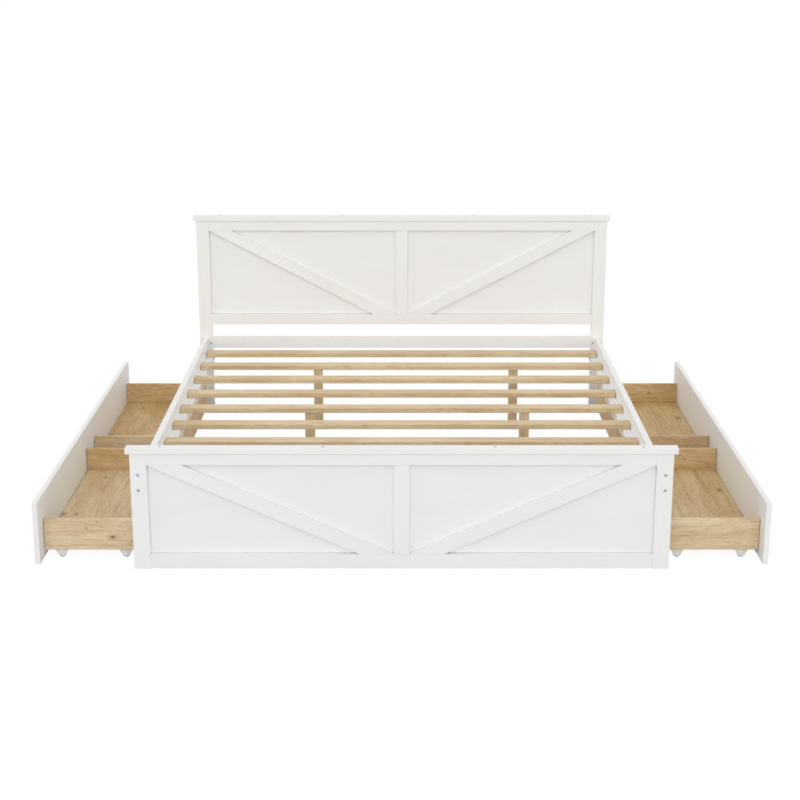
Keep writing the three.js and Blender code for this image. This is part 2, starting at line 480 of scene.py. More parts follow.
@dataclass(frozen=True)
class Timber:
    """Sawn wood: growth rings round the heart of the log, bent round knots, with fibres and pores."""

    name: str
    slot: str
    pale: Vec
    mid: Vec
    dark: Vec
    knot: Vec = (0.19, 0.11, 0.05)
    ring: float = 0.0058
    taper: float = 0.07
    wander: float = 0.012
    contrast: float = 0.62
    roughness: float = 0.52
    knots: tuple[Vec, ...] = ()

    def build(self) -> bpy.types.Material:
        """Makes the material.

        The ring count at a point is its distance from the log's heart, plus the log's taper, plus a slow
        wander, a fine waver and a swelling round each knot, all divided by the ring width.

        Returns:
            The material.
        """
        g = Graph(self.name)
        place = g.grain()
        drift = self.offset(g, place, (1.6, 7.0, 7.0), 4 * self.wander)
        waver = self.offset(g, place, (17.0, 62.0, 62.0), 0.5 * self.wander)
        moved = g.vector("ADD", g.vector("ADD", place, drift), waver)
        split = g.node("SeparateXYZ", {0: moved})
        flat = g.node("CombineXYZ", {0: 0.0, 1: split.outputs[1], 2: split.outputs[2]}).outputs[0]
        radius = g.distance(flat, (0.0, 0.0, 0.0))
        radius = g.math("ADD", radius, g.math("MULTIPLY", split.outputs[0], self.taper))
        heart: Any = 0.0
        rim: Any = 0.0
        for knot_along, knot_across, size in self.knots:
            away = g.vector("SUBTRACT", place, (knot_along, knot_across, 0.0))
            away = g.vector("ADD", g.vector("MULTIPLY", away, (0.6, 1.0, 0.0)), waver)
            away = g.vector("MULTIPLY", away, (1.0, 1.0, 0.0))
            reach = g.distance(away, (0.0, 0.0, 0.0))
            radius = g.math("ADD", radius, g.range(reach, 0.3 * size, 5.0 * size, 2.6 * size, 0.0))
            heart = g.math("MAXIMUM", heart, g.range(reach, 0.4 * size, 1.1 * size, 0.85, 0.0))
            rim = g.math("MAXIMUM", rim, g.range(reach, 0.8 * size, 3.4 * size, 0.6, 0.0))
        late = self.late_wood(g, place, radius)
        streak = g.noise(place, (1.6, 60.0, 60.0), 3.0, 0.55).outputs[0]
        cloud = g.noise(place, (3.0, 11.0, 11.0), 2.0).outputs[0]
        fibre = g.noise(place, (11.0, 420.0, 420.0), 3.0, 0.65).outputs[0]
        pore = g.noise(place, (60.0, 1500.0, 1500.0), 1.0).outputs[0]
        fleck = g.noise(place, (24.0, 125.0, 125.0), 3.0, 0.7).outputs[0]
        colour = g.blend(g.range(cloud, 0.35, 0.68), rgb(*self.pale), rgb(*self.mid))
        colour = g.blend(g.range(streak, 0.5, 0.78, 0.0, 0.45), colour, rgb(*self.dark))
        colour = g.blend(g.math("MAXIMUM", late, rim), colour, rgb(*self.dark))
        colour = g.blend(1.0, colour, g.range(fibre, 0.3, 0.68, 0.87, 1.04), "MULTIPLY")
        colour = g.blend(g.range(fleck, 0.46, 0.72, 0.0, 0.42), colour, rgb(*self.dark))
        colour = g.blend(g.range(fleck, 0.46, 0.28, 0.0, 0.5), colour, rgb(*self.pale))
        colour = g.blend(g.range(pore, 0.62, 0.72, 0.0, 0.25), colour, rgb(*self.dark))
        colour = g.blend(heart, colour, rgb(*self.knot))
        rough = g.range(fibre, 0.3, 0.7, self.roughness + 0.08, self.roughness - 0.05)
        normal = g.bump(fibre, 0.18 * MM, 0.4)
        normal = g.bump(late, 0.1 * MM, 0.3, normal)
        return g.finish(Base_Color=colour, Roughness=rough, Normal=normal)

    def offset(self, g: Graph, place: Any, stretch: Vec, reach: float) -> bpy.types.NodeSocket:
        """A smooth random shift across and through the board.

        Args:
            g: the material's graph.
            place: the coordinates.
            stretch: cycles for each metre.
            reach: the size of the shift between the noise's extremes, in metres.

        Returns:
            The shift as a vector.
        """
        centred = g.vector("SUBTRACT", g.noise(place, stretch, 2.0).outputs["Color"], (0.5, 0.5, 0.5))
        return g.vector("MULTIPLY", centred, (0.0, reach, reach))

    def late_wood(self, g: Graph, place: Any, radius: Any) -> bpy.types.NodeSocket:
        """How dark the growth rings make a point.

        Each ring darkens slowly outwards and ends sharply. Rings differ in strength, and some stretches of
        the board show them less.

        Args:
            g: the material's graph.
            place: the coordinates.
            radius: the distance that the rings are counted along.

        Returns:
            The share of the dark colour, from 0 to 1.
        """
        count = g.math("DIVIDE", radius, self.ring)
        phase = g.math("FRACT", count)
        number = g.node("CombineXYZ", {0: g.math("FLOOR", count), 1: 3.7, 2: 1.3}).outputs[0]
        each = g.node("TexWhiteNoise", {"Vector": number}).outputs["Value"]
        grey = [(0.0, 0.35), (0.14, 0.0), (0.5, 0.12), (0.82, 1.0), (0.93, 1.0), (1.0, 0.35)]
        late = g.ramp(phase, [(stop, (level,) * 3) for stop, level in grey])
        late = g.math("MULTIPLY", late, g.range(each, 0.0, 1.0, 0.35 * self.contrast, self.contrast))
        patch = g.noise(place, (4.0, 22.0, 22.0), 2.0).outputs[0]
        late = g.math("MULTIPLY", late, g.range(patch, 0.32, 0.66, 0.15, 1.0))
        dash = g.noise(place, (24.0, 330.0, 330.0), 2.0, 0.6).outputs[0]
        return g.math("MULTIPLY", late, g.range(dash, 0.36, 0.62, 0.2, 1.0))

    def deepened(self, name: str, amount: float, knots: tuple[Vec, ...]) -> Timber:
        """The same wood in a deeper or paler tone, with its own knots; boards use the deeper tone as
        painted shade.

        Args:
            name: the new material's name.
            amount: each channel is raised to the power of one plus this, which paints shade; negative is
                paler.
            knots: the knots' places in the log and their radii.

        Returns:
            The new timber.
        """
        tones = (self.pale, self.mid, self.dark)
        pale, mid, dark = (triple(np.array(tone) ** (1 + amount)) for tone in tones)
        return replace(self, name=name, pale=pale, mid=mid, dark=dark, knots=knots)


@dataclass(frozen=True)
class Moulded:
    """Moulded plastic with a faint spark texture, read in object space."""

    name: str
    slot: str
    colour: Vec
    roughness: float
    texture: float = 0.04 * MM

    def build(self) -> bpy.types.Material:
        """Makes the material from a soft mottle and a fine pebble.

        Returns:
            The material.
        """
        g = Graph(self.name)
        place = g.node("TexCoord", {}).outputs["Object"]
        mottle = g.noise(place, (60.0, 60.0, 60.0), 2.0)
        pebble = g.noise(place, (1400.0, 1400.0, 1400.0), 2.0, 0.6)
        darker = rgb(*(0.9 * channel for channel in self.colour))
        colour = g.blend(g.range(mottle.outputs[0], 0.3, 0.7), rgb(*self.colour), darker)
        rough = g.range(pebble.outputs[0], 0.3, 0.7, self.roughness - 0.06, self.roughness + 0.06)
        normal = g.bump(pebble.outputs[0], self.texture, 0.4)
        return g.finish(Base_Color=colour, Roughness=rough, Normal=normal)


@dataclass(frozen=True)
class Plated:
    """Zinc-plated steel: a dull metal with fine tumbling marks."""

    name: str = "bolt_steel"
    slot: str = "bolt_steel"
    colour: Vec = (0.47, 0.47, 0.48)
    roughness: float = 0.38

    def build(self) -> bpy.types.Material:
        """Makes the material from fine marks and a faint stain.

        Returns:
            The material.
        """
        g = Graph(self.name)
        place = g.node("TexCoord", {}).outputs["Object"]
        marks = g.noise(place, (900.0, 900.0, 2600.0), 3.0, 0.6)
        stain = g.noise(place, (180.0, 180.0, 180.0), 2.0)
        darker = rgb(*(0.78 * channel for channel in self.colour))
        colour = g.blend(g.range(stain.outputs[0], 0.35, 0.7), rgb(*self.colour), darker)
        rough = g.range(marks.outputs[0], 0.3, 0.7, self.roughness - 0.1, self.roughness + 0.12)
        normal = g.bump(marks.outputs[0], 0.03 * MM, 0.4)
        return g.finish(Base_Color=colour, Roughness=rough, Metallic=1.0, Normal=normal)


Finish = Paint | Timber | Moulded | Plated

PAINT = Paint()
SLAT_WOOD = Timber(
    "slat_wood", "slat_wood", pale=(0.80, 0.64, 0.41), mid=(0.68, 0.505, 0.285), dark=(0.44, 0.28, 0.14),
    ring=0.005, taper=0.03, contrast=0.6,
)
DRAWER_WOOD = Timber(
    "drawer_wood", "drawer_wood", pale=(0.82, 0.66, 0.425), mid=(0.71, 0.525, 0.30),
    dark=(0.42, 0.26, 0.12),
)
FLOOR_WOOD = replace(
    DRAWER_WOOD, name="drawer_floor_wood", slot="drawer_floor_wood", pale=(0.80, 0.64, 0.385),
    mid=(0.70, 0.52, 0.28), ring=0.008, taper=0.09, wander=0.02,
)
HOUSING = Moulded("caster_housing", "caster_housing", (0.80, 0.79, 0.76), 0.38)
TREAD = Moulded("caster_wheel", "caster_wheel", (0.50, 0.495, 0.48), 0.5)
PLUG = Moulded("cap_plug", "cap_plug", (0.5, 0.5, 0.495), 0.45)
STEEL = Plated()
AXLE_STEEL = replace(STEEL, name="axle_steel", colour=(0.8, 0.8, 0.79))

MATERIALS: dict[Finish, bpy.types.Material] = {}


def material_of(finish: Finish) -> bpy.types.Material:
    """The material of a finish, made once.

    Args:
        finish: the finish.

    Returns:
        Its material.
    """
    if finish not in MATERIALS:
        MATERIALS[finish] = finish.build()
    return MATERIALS[finish]


# ---- pieces ----


def show(
    name: str, surface: Surface, finish: Finish, body: str, nodes: Iterable[str] = (),
    grain: np.ndarray | None = None,
) -> bpy.types.Object:
    """Makes a piece, dresses it and hands it to its body.

    Args:
        name: the piece's name.
        surface: its surface.
        finish: its finish.
        body: the body that it moves with.
        nodes: the nodes that it stands for.
        grain: its place in its log at each point, if it has one.

    Returns:
        The piece.
    """
    mesh = bpy.data.meshes.new(name)
    mesh.from_pydata(surface.points.tolist(), [], surface.faces)
    mesh.polygons.foreach_set("use_smooth", surface.smooth)
    if grain is not None:
        attribute = mesh.attributes.new(GRAIN, "FLOAT_VECTOR", "POINT")
        attribute.data.foreach_set("vector", grain.astype(np.float32).ravel())
    mesh.materials.append(material_of(finish))
    mesh.update()
    piece = bpy.data.objects.new(name, mesh)
    bpy.context.scene.collection.objects.link(piece)
    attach(piece, body)
    if nodes:
        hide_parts(*nodes)
    log.info("%s: %d faces on %s", name, len(surface.faces), body)
    return piece


@dataclass(frozen=True)
class Board:
    """A board with eased edges and its own place in a log."""

    name: str
    low: Vec
    high: Vec
    along: Axis
    finish: Finish
    body: str = BED
    nodes: tuple[str, ...] = ()
    ease: float = 1.6 * MM
    lean: float = 0.0
    sawing: Sawing = Sawing.FLAT
    seed: float = 0.0
    knots: tuple[Knot, ...] = ()
    # deep: how much deeper the board's wood tone is made, painted shade for a board that sits in shade;
    # negative makes it paler.
    deep: float = 0.0
    log_start: float = 0.37
    log_step: float = 3.1

    def directions(self) -> np.ndarray:
        """The board's own directions.

        Returns:
            Three rows: along the grain, across the wider face and through it. A leaning strip's grain runs
            along its slope.
        """
        size = np.asarray(self.high, float) - np.asarray(self.low, float)
        others = [axis for axis in range(3) if axis != self.along.value]
        wide, thin = sorted(others, key=lambda axis: -size[axis])
        basis = np.eye(3)[[self.along.value, wide, thin]]
        if self.lean:
            slope = np.array([self.lean, 0.0, 1.0]) / math.hypot(self.lean, 1.0)
            basis = np.stack([slope, np.array([slope[2], 0.0, -slope[0]]), np.array([0.0, 1.0, 0.0])])
        return basis

    def make(self) -> bpy.types.Object:
        """Builds the board.

        Returns:
            The finished piece.
        """
        surface = eased_board(self.low, self.high, self.along, self.ease, self.lean)
        middle = (np.asarray(self.low, float) + np.asarray(self.high, float)) / 2
        offset = np.array([self.log_start + self.log_step * self.seed, *self.sawing.value])
        if int(self.seed) % 2:
            offset[1] *= -1
        place = (surface.points - middle) @ self.directions().T + offset
        finish = self.finish
        # A board with knots or painted shade gets its own copy of the wood.
        if isinstance(finish, Timber) and (self.knots or self.deep):
            along, across = float(offset[0]), float(offset[1])
            spots = tuple((k.along + along, k.across + across, k.radius) for k in self.knots)
            finish = finish.deepened(f"{finish.name}_{self.name}", self.deep, spots)
        return show(self.name, surface, finish, self.body, self.nodes, place)


@dataclass
class FramedBoard:
    """The headboard or the footboard: posts, rails, two panels, a stile, two braces and a cap."""

    name: str
    seed: float
    cross_rail: bool = False
    stile_width: float = 58 * MM
    recess: float = 16.4 * MM
    panel_gap: float = 0.5 * MM
    brace_cut: float = 130 * MM
    ease: float = 0.4 * MM
    cap_ease: float = 1.2 * MM
    panel_ease: float = 0.8 * MM

    def node(self, part: str) -> str:
        """The name of one of the board's nodes."""
        return f"{self.name}_{part}"

    def plain(self, part: str, along: Axis, seed: float, ease: float) -> None:
        """Builds a board in the place of a node.

        Args:
            part: the node's name without the board's.
            along: the way its grain runs.
            seed: its place in the log.
            ease: radius of its edges.
        """
        name = self.node(part)
        low, high = corners(name)
        Board(
            name, triple(low), triple(high), along, PAINT, nodes=(name,), ease=ease, seed=self.seed + seed,
        ).make()

    def make(self) -> None:
        """Builds the whole board."""
        self.plain("cap", Axis.X, 1.0, self.cap_ease)
        self.plain("top_rail", Axis.X, 2.0, self.ease)
        self.plain("bottom_rail", Axis.X, 3.0, self.ease)
        if self.cross_rail:
            self.plain("cross_rail", Axis.X, 4.0, self.ease)
        for side in Side:
            self.plain(f"post_{side.word}", Axis.Z, 6.0 + side.value, self.ease)
            self.make_brace(side)
        self.make_panels()

    def make_panels(self) -> None:
        """Builds the two recessed panels and the stile that stands between them."""
        low, high = corners(self.node("panel"))
        half = self.stile_width / 2
        nodes = (self.node("panel"),)
        back = low[1] + self.recess
        stile_low, stile_high = (-half, low[1], low[2]), (half, high[1], high[2])
        Board(
            self.node("stile"), stile_low, stile_high, Axis.Z, PAINT, nodes=nodes, ease=self.ease,
            seed=self.seed + 0.4,
        ).make()
        for side in Side:
            xs = sorted((side.value * half, side.value * high[0]))
            name = self.node(f"panel_{side.word}")
            panel_low, panel_high = (xs[0], back, low[2] + self.panel_gap), (xs[1], high[1], high[2])
            Board(
                name, panel_low, panel_high, Axis.X, PAINT, nodes=nodes, ease=self.panel_ease,
                seed=self.seed + 8,
            ).make()

    def make_brace(self, side: Side) -> None:
        """Builds a slanting brace with level ends.

        Args:
            side: which half of the board it crosses.
        """
        name = self.node(f"brace_{side.word}")
        low, high = corners(name)
        middle = (low + high) / 2
        height = high[2] - low[2]
        lean = side.value * (high[0] - low[0] - self.brace_cut) / height
        brace_low = (middle[0] - self.brace_cut / 2, low[1], low[2])
        brace_high = (middle[0] + self.brace_cut / 2, high[1], high[2])
        Board(
            name, triple(brace_low), triple(brace_high), Axis.Z, PAINT, nodes=(name,), ease=self.ease,
            lean=lean, seed=self.seed + 12 + side.value,
        ).make()


@dataclass
class SideRails:
    """The two side rails, each with the ledge that carries the slats and its screws."""

    thickness: float = 25 * MM
    ledge_thickness: float = 25 * MM
    slat_gap: float = 0.3 * MM
    screws: int = 8
    screw_radius: float = 3.6 * MM

    def make(self) -> None:
        """Builds both rails."""
        for side in Side:
            self.make_rail(side)

    def make_rail(self, side: Side) -> None:
        """Builds one rail, its ledge and the row of countersunk screws along the ledge.

        Args:
            side: which rail.
        """
        node = f"side_rail_{side.word}"
        low, high = corners(node)
        outer = high[0] if side is Side.RIGHT else low[0]
        inner = low[0] if side is Side.RIGHT else high[0]
        face = outer - side.value * self.thickness
        rail_x, ledge_x = sorted((outer, face)), sorted((face, inner))
        rail_low, rail_high = triple((rail_x[0], low[1], low[2])), triple((rail_x[1], high[1], high[2]))
        Board(node, rail_low, rail_high, Axis.Y, PAINT, nodes=(node,), seed=20 + side.value).make()
        top = corners("slat_1")[0][2] - self.slat_gap
        bottom = top - self.ledge_thickness
        ledge_low, ledge_high = triple((ledge_x[0], low[1], bottom)), triple((ledge_x[1], high[1], top))
        name = f"ledge_{side.word}"
        Board(name, ledge_low, ledge_high, Axis.Y, PAINT, nodes=(node,), seed=23 + side.value).make()
        self.make_screws(side, (ledge_x[0] + ledge_x[1]) / 2, low[1], high[1], top)

    def make_screws(self, side: Side, x: float, start: float, end: float, z: float) -> None:
        """Builds the ledge's countersunk screws as one piece.

        Args:
            side: which ledge.
            x: where they stand across the bed.
            start: the ledge's foot end.
            end: the ledge's head end.
            z: the ledge's top face.
        """
        profile = np.array([(0.45, -0.25), (0.5, 0.0), (0.8, 0.1), (1.0, 0.02), (1.0, -0.3)])
        stations = profile * self.screw_radius
        spacing = (end - start) / (self.screws + 1)
        heads = [
            domed(stations, Axis.Z, 1, (x, start + spacing * (number + 1), z), hexagon=2, segments=24)
            for number in range(self.screws)
        ]
        surface = heads[0]
        for head in heads[1:]:
            surface = surface.joined(head)
        show(f"ledge_screws_{side.word}", surface, STEEL, BED)


@dataclass
class SlattedDeck:
    """The slats and the legs that stand under them."""

    slats: int = 9
    ease: float = 2.5 * MM
    leg_ease: float = 2 * MM
    hidden_row: int = 2
    leg_rows: tuple[str, ...] = ("middle", "head")

    def make(self) -> None:
        """Builds the slats, the four legs that the frame holds and the pair hidden behind the footboard."""
        sawings = (Sawing.RIFT, Sawing.FLAT, Sawing.QUARTER)
        for number in range(1, self.slats + 1):
            name = f"slat_{number}"
            low, high = corners(name)
            sawing = sawings[number % len(sawings)]
            Board(
                name, triple(low), triple(high), Axis.X, SLAT_WOOD, nodes=(name,), ease=self.ease,
                sawing=sawing, seed=float(number),
            ).make()
        for index, row in enumerate(self.leg_rows):
            for side in Side:
                name = f"leg_{row}_{side.word}"
                low, high = corners(name)
                self.make_leg(name, low, high, (name,), 30.0 + 2 * index + side.value)
        self.make_hidden_legs()

    def make_leg(
        self, name: str, low: np.ndarray, high: np.ndarray, nodes: tuple[str, ...], seed: float,
    ) -> None:
        """Builds a square leg.

        Args:
            name: its name.
            low: lowest corner.
            high: highest corner.
            nodes: the node it stands for, if any.
            seed: its place in the log.
        """
        Board(
            name, triple(low), triple(high), Axis.Z, SLAT_WOOD, nodes=nodes, ease=self.leg_ease,
            sawing=Sawing.QUARTER, seed=seed,
        ).make()

    def make_hidden_legs(self) -> None:
        """Builds the foot row of legs, in line with the others."""
        slat_low, slat_high = corners(f"slat_{self.hidden_row}")
        y = (slat_low[1] + slat_high[1]) / 2
        for side in Side:
            low, high = corners(f"leg_{self.leg_rows[0]}_{side.word}")
            shift = np.array([0.0, y - (low[1] + high[1]) / 2, 0.0])
            self.make_leg(f"leg_foot_{side.word}", low + shift, high + shift, (), 40.0 + side.value)


@dataclass
class Caster:
    """A fixed caster: screwed plate, moulded fork, steel axle and grey wheel."""

    wheel_node: str
    drawer: str
    underside: float
    fork_half_gap: float = 8.75 * MM
    fork_wall: float = 2.4 * MM
    fork_corner: float = 2.0 * MM
    toe: tuple[float, float] = (12 * MM, 8 * MM)
    shoulder: tuple[float, float] = (23 * MM, 28 * MM)
    toe_round: float = 5 * MM
    toe_reach: float = 2 * MM
    plate: tuple[float, float, float] = (52 * MM, 20 * MM, 1.6 * MM)
    centre: np.ndarray = field(init=False)
    radius: float = field(init=False)
    half_width: float = field(init=False)

    def __post_init__(self) -> None:
        """Reads the wheel's middle, radius and half width from its box."""
        low, high = corners(self.wheel_node)
        self.centre = (low + high) / 2
        self.radius = (high[2] - low[2]) / 2
        self.half_width = (high[1] - low[1]) / 2

    def make(self) -> None:
        """Builds the wheel, the fork with its plate and the axle."""
        self.make_wheel()
        self.make_housing()
        self.make_axle()

    def make_wheel(self) -> None:
        """Builds the wheel by turning its profile.

        The tread's radius is R - c * (y / half width)^4, and each face has a raised hub and a dished web.
        """
        half, radius = self.half_width, self.radius
        y = np.linspace(-0.94, 0.94, 13)
        tread = np.stack([radius - 1.1 * MM * y**4, y * half], axis=-1)
        face = np.array([
            (radius - 2.2 * MM, half), (0.74 * radius, half), (0.7 * radius, 0.8 * half),
            (0.42 * radius, 0.8 * half), (0.38 * radius, half), (0.25 * radius, half),
            (0.2 * radius, 0.93 * half),
        ])
        other = face[::-1] * (1, -1)
        profile = np.concatenate([tread, face, other])
        surface = turned(profile, Axis.Y, triple(self.centre), 48)
        name = self.wheel_node.replace("wheel", "caster_wheel")
        show(name, surface, TREAD, self.wheel_node, (self.wheel_node,))

    def fork_half_width(self, z: np.ndarray) -> np.ndarray:
        """The fork's half width at a height: straight above the shoulder, tapering below, round at the toe.

        The rounding multiplies the taper by sqrt(1 - u^2), where u rises from 0 to 1 below the toe.

        Args:
            z: heights above the floor.

        Returns:
            Half widths in metres.
        """
        (toe_width, toe_height), (shoulder_width, shoulder_height) = self.toe, self.shoulder
        slope = (shoulder_width - toe_width) / (shoulder_height - toe_height)
        taper = np.minimum(toe_width + slope * (z - toe_height), shoulder_width)
        u = np.clip((toe_height + self.toe_reach - z) / self.toe_round, 0.0, 0.9)
        return taper * np.sqrt(1 - u**2)

    def make_housing(self) -> None:
        """Builds the fork and its plate.

        The fork is a sheet on a grid: s runs down one cheek, over the bridge and up the other with rounded
        corners, and t runs across it from -1 to 1, so that x = t * half width at that height. A wall is
        given to the sheet afterwards.
        """
        bottom = self.toe[1] + self.toe_reach - 0.9 * self.toe_round
        top = self.underside - self.plate[2] - self.fork_wall / 2
        corner, half = self.fork_corner, self.fork_half_gap
        rows_up = 16
        cheek = bottom + (top - corner - bottom) * np.linspace(0, 1, rows_up) ** 1.3
        turn = np.linspace(0, math.pi / 2, 5)[1:]
        arc_y = -half + corner * (1 - np.cos(turn))
        arc_z = top - corner + corner * np.sin(turn)
        y = np.concatenate([np.full(rows_up, -half), arc_y, -arc_y[::-1], np.full(rows_up, half)])
        z = np.concatenate([cheek, arc_z, arc_z[::-1], cheek[::-1]])
        t = np.linspace(-1, 1, 9)
        width = self.fork_half_width(z)[:, None]
        points = np.stack(np.broadcast_arrays(t * width, y[:, None], z[:, None]), axis=-1)
        points = points + np.array([self.centre[0], self.centre[1], 0.0])
        rows, columns = points.shape[:2]
        i, j = np.meshgrid(np.arange(rows - 1), np.arange(columns - 1), indexing="ij")
        first = (i * columns + j).ravel()
        quads = np.stack([first, first + 1, first + columns + 1, first + columns], axis=-1)
        faces = [tuple(quad) for quad in quads.tolist()]
        sheet = Surface(points.reshape(-1, 3), faces, np.ones(len(quads), bool))
        name = self.wheel_node.replace("wheel", "caster_fork")
        fork = show(name, sheet, HOUSING, self.drawer)
        wall = fork.modifiers.new("wall", "SOLIDIFY")
        wall.thickness = self.fork_wall
        wall.offset = 0.0
        edge = fork.modifiers.new("edge", "BEVEL")
        edge.width = 0.5 * MM
        edge.segments = 2
        edge.limit_method = "ANGLE"
        length, breadth, thick = self.plate
        plate_low = (self.centre[0] - length / 2, self.centre[1] - breadth / 2, self.underside - thick)
        plate_high = (self.centre[0] + length / 2, self.centre[1] + breadth / 2, self.underside)
        plate = eased_board(triple(plate_low), triple(plate_high), Axis.X, 0.8 * MM)
        show(self.wheel_node.replace("wheel", "caster_plate"), plate, HOUSING, self.drawer)

    def make_axle(self) -> None:
        """Builds the axle: a pin with a low domed head on each cheek."""
        reach = self.fork_half_gap + self.fork_wall / 2
        pin = 0.17 * self.radius
        head = 0.24 * self.radius
        half = np.array([
            (0.02 * head, reach + 1.1 * MM), (0.7 * head, reach + 0.9 * MM), (head, reach + 0.3 * MM),
            (head, reach + 0.02 * MM), (pin, reach),
        ])
        stations = np.concatenate([half, half[::-1] * (1, -1)])
        surface = domed(stations, Axis.Y, 1, triple(self.centre), segments=28)
        show(self.wheel_node.replace("wheel", "caster_axle"), surface, AXLE_STEEL, self.drawer)


@dataclass
class Drawer:
    """One rolling drawer: painted front, four oak boards and four casters."""

    side: Side
    row: str
    seed: float
    wall: float = 15 * MM
    floor_thickness: float = 9 * MM
    gap: float = 0.3 * MM
    joint: float = 2.0 * MM
    # edging: height of the strip along the top of the back in the plain wood tone, painted light on the top
    # edge above the back's painted shade.
    edging: float = 1.0 * MM
    ease: float = 1.0 * MM
    front_ease: float = 2.0 * MM
    floor_ease: float = 0.6 * MM
    edging_ease: float = 0.3 * MM
    block: tuple[float, float] = (48 * MM, 24 * MM)
    near_knots: tuple[Knot, ...] = ()
    far_knots: tuple[Knot, ...] = ()
    floor_knots: tuple[Knot, ...] = ()
    # Painted shade: deeper wood tones for boards in shade, the far side and floor inside the drawer, the
    # back under the slats and the head drawers' near sides; negative makes a board paler.
    floor_deep: float = 0.0
    near_deep: float = 0.0
    inner_deep: float = 0.3
    back_deep: float = 0.9
    casters: int = 4

    @property
    def name(self) -> str:
        """The drawer's name, which is also its body's."""
        return f"drawer_{self.side.word}_{self.row}"

    def board(
        self, part: str, low: Sequence[float], high: Sequence[float], along: Axis, **extra: Any,
    ) -> None:
        """Builds one of the drawer's boards.

        Args:
            part: its name without the drawer's.
            low: lowest corner.
            high: highest corner.
            along: the way its grain runs.
            extra: the rest of the board's fields.
        """
        nodes = (f"{self.name}_box",)
        usual = {"finish": DRAWER_WOOD, "body": self.name, "ease": self.ease, "nodes": nodes}
        Board(f"{self.name}_{part}", triple(low), triple(high), along, **(usual | extra)).make()

    def make(self) -> None:
        """Builds the drawer."""
        front = f"{self.name}_front"
        low, high = corners(front)
        self.board(
            "front", low, high, Axis.Y, finish=PAINT, nodes=(front,), ease=self.front_ease, seed=self.seed,
        )
        self.make_walls()
        self.make_floor()
        underside = float(corners(f"{self.name}_box")[0][2]) - self.gap
        for number in range(1, self.casters + 1):
            self.make_block(number, underside)
            Caster(f"{self.name}_wheel_{number}", self.name, underside).make()

    def short_of_front(self, low: np.ndarray, high: np.ndarray) -> tuple[np.ndarray, np.ndarray]:
        """Draws a board's box back from the drawer's front, so that the joint between them shows.

        Args:
            low: the board's lowest corner.
            high: its highest corner.

        Returns:
            The corners with the joint taken off.
        """
        if self.side is Side.RIGHT:
            return low, high - np.array([self.joint, 0.0, 0.0])
        return low + np.array([self.joint, 0.0, 0.0]), high

    def make_walls(self) -> None:
        """Builds the two sides and the back between them; the back carries painted shade, and a thin strip
        along its top in the plain tone paints its top edge lighter.
        """
        low, high = self.short_of_front(*corners(f"{self.name}_box"))
        wall = self.wall
        near_high = (high[0], low[1] + wall, high[2])
        far_low = (low[0], high[1] - wall, low[2])
        self.board(
            "side_near", low, near_high, Axis.X, seed=self.seed + 1, knots=self.near_knots,
            sawing=Sawing.RIFT, deep=self.near_deep,
        )
        self.board(
            "side_far", far_low, high, Axis.X, seed=self.seed + 2, knots=self.far_knots, sawing=Sawing.WIDE,
            deep=self.inner_deep,
        )
        back_x = (low[0], low[0] + wall) if self.side is Side.RIGHT else (high[0] - wall, high[0])
        top = high[2] - self.edging
        back_low = (back_x[0], low[1] + wall, low[2])
        back_high = (back_x[1], high[1] - wall, top)
        strip_low, strip_high = (back_x[0], low[1] + wall, top), (back_x[1], high[1] - wall, high[2])
        seed = self.seed + 3
        # The strip along the back's top keeps the plain tone, painted light on the top edge; the back below
        # it carries painted shade.
        self.board("back_edging", strip_low, strip_high, Axis.Y, seed=seed, ease=self.edging_ease)
        self.board("back", back_low, back_high, Axis.Y, seed=seed, deep=self.back_deep)

    def make_floor(self) -> None:
        """Builds the bottom board, whose grain runs the length of the drawer."""
        node = f"{self.name}_base"
        low, high = self.short_of_front(*corners(node))
        box_low, box_high = corners(f"{self.name}_box")
        inset = self.wall + self.joint
        floor_low = (low[0], box_low[1] + inset, high[2] - self.floor_thickness)
        floor_high = (high[0], box_high[1] - inset, high[2])
        self.board(
            "floor", floor_low, floor_high, Axis.Y, finish=FLOOR_WOOD, nodes=(node,), ease=self.floor_ease,
            sawing=Sawing.WIDE, seed=self.seed + 4, knots=self.floor_knots, deep=self.floor_deep,
        )

    def make_block(self, number: int, underside: float) -> None:
        """Builds the corner block between the bottom board and a caster.

        Args:
            number: which caster.
            underside: the height of its lower face.
        """
        wheel_low, wheel_high = corners(f"{self.name}_wheel_{number}")
        wheel = (wheel_low + wheel_high) / 2
        box_low, box_high = corners(f"{self.name}_box")
        top = corners(f"{self.name}_base")[1][2] - self.floor_thickness
        length, depth = self.block
        inset = self.wall + self.gap
        if wheel[1] < (box_low[1] + box_high[1]) / 2:
            span = (box_low[1] + inset, box_low[1] + inset + depth)
        else:
            span = (box_high[1] - inset - depth, box_high[1] - inset)
        low = (wheel[0] - length / 2, span[0], underside)
        high = (wheel[0] + length / 2, span[1], top)
        node = f"{self.name}_base"
        self.board(f"block_{number}", low, high, Axis.X, nodes=(node,), seed=self.seed + 4 + number)


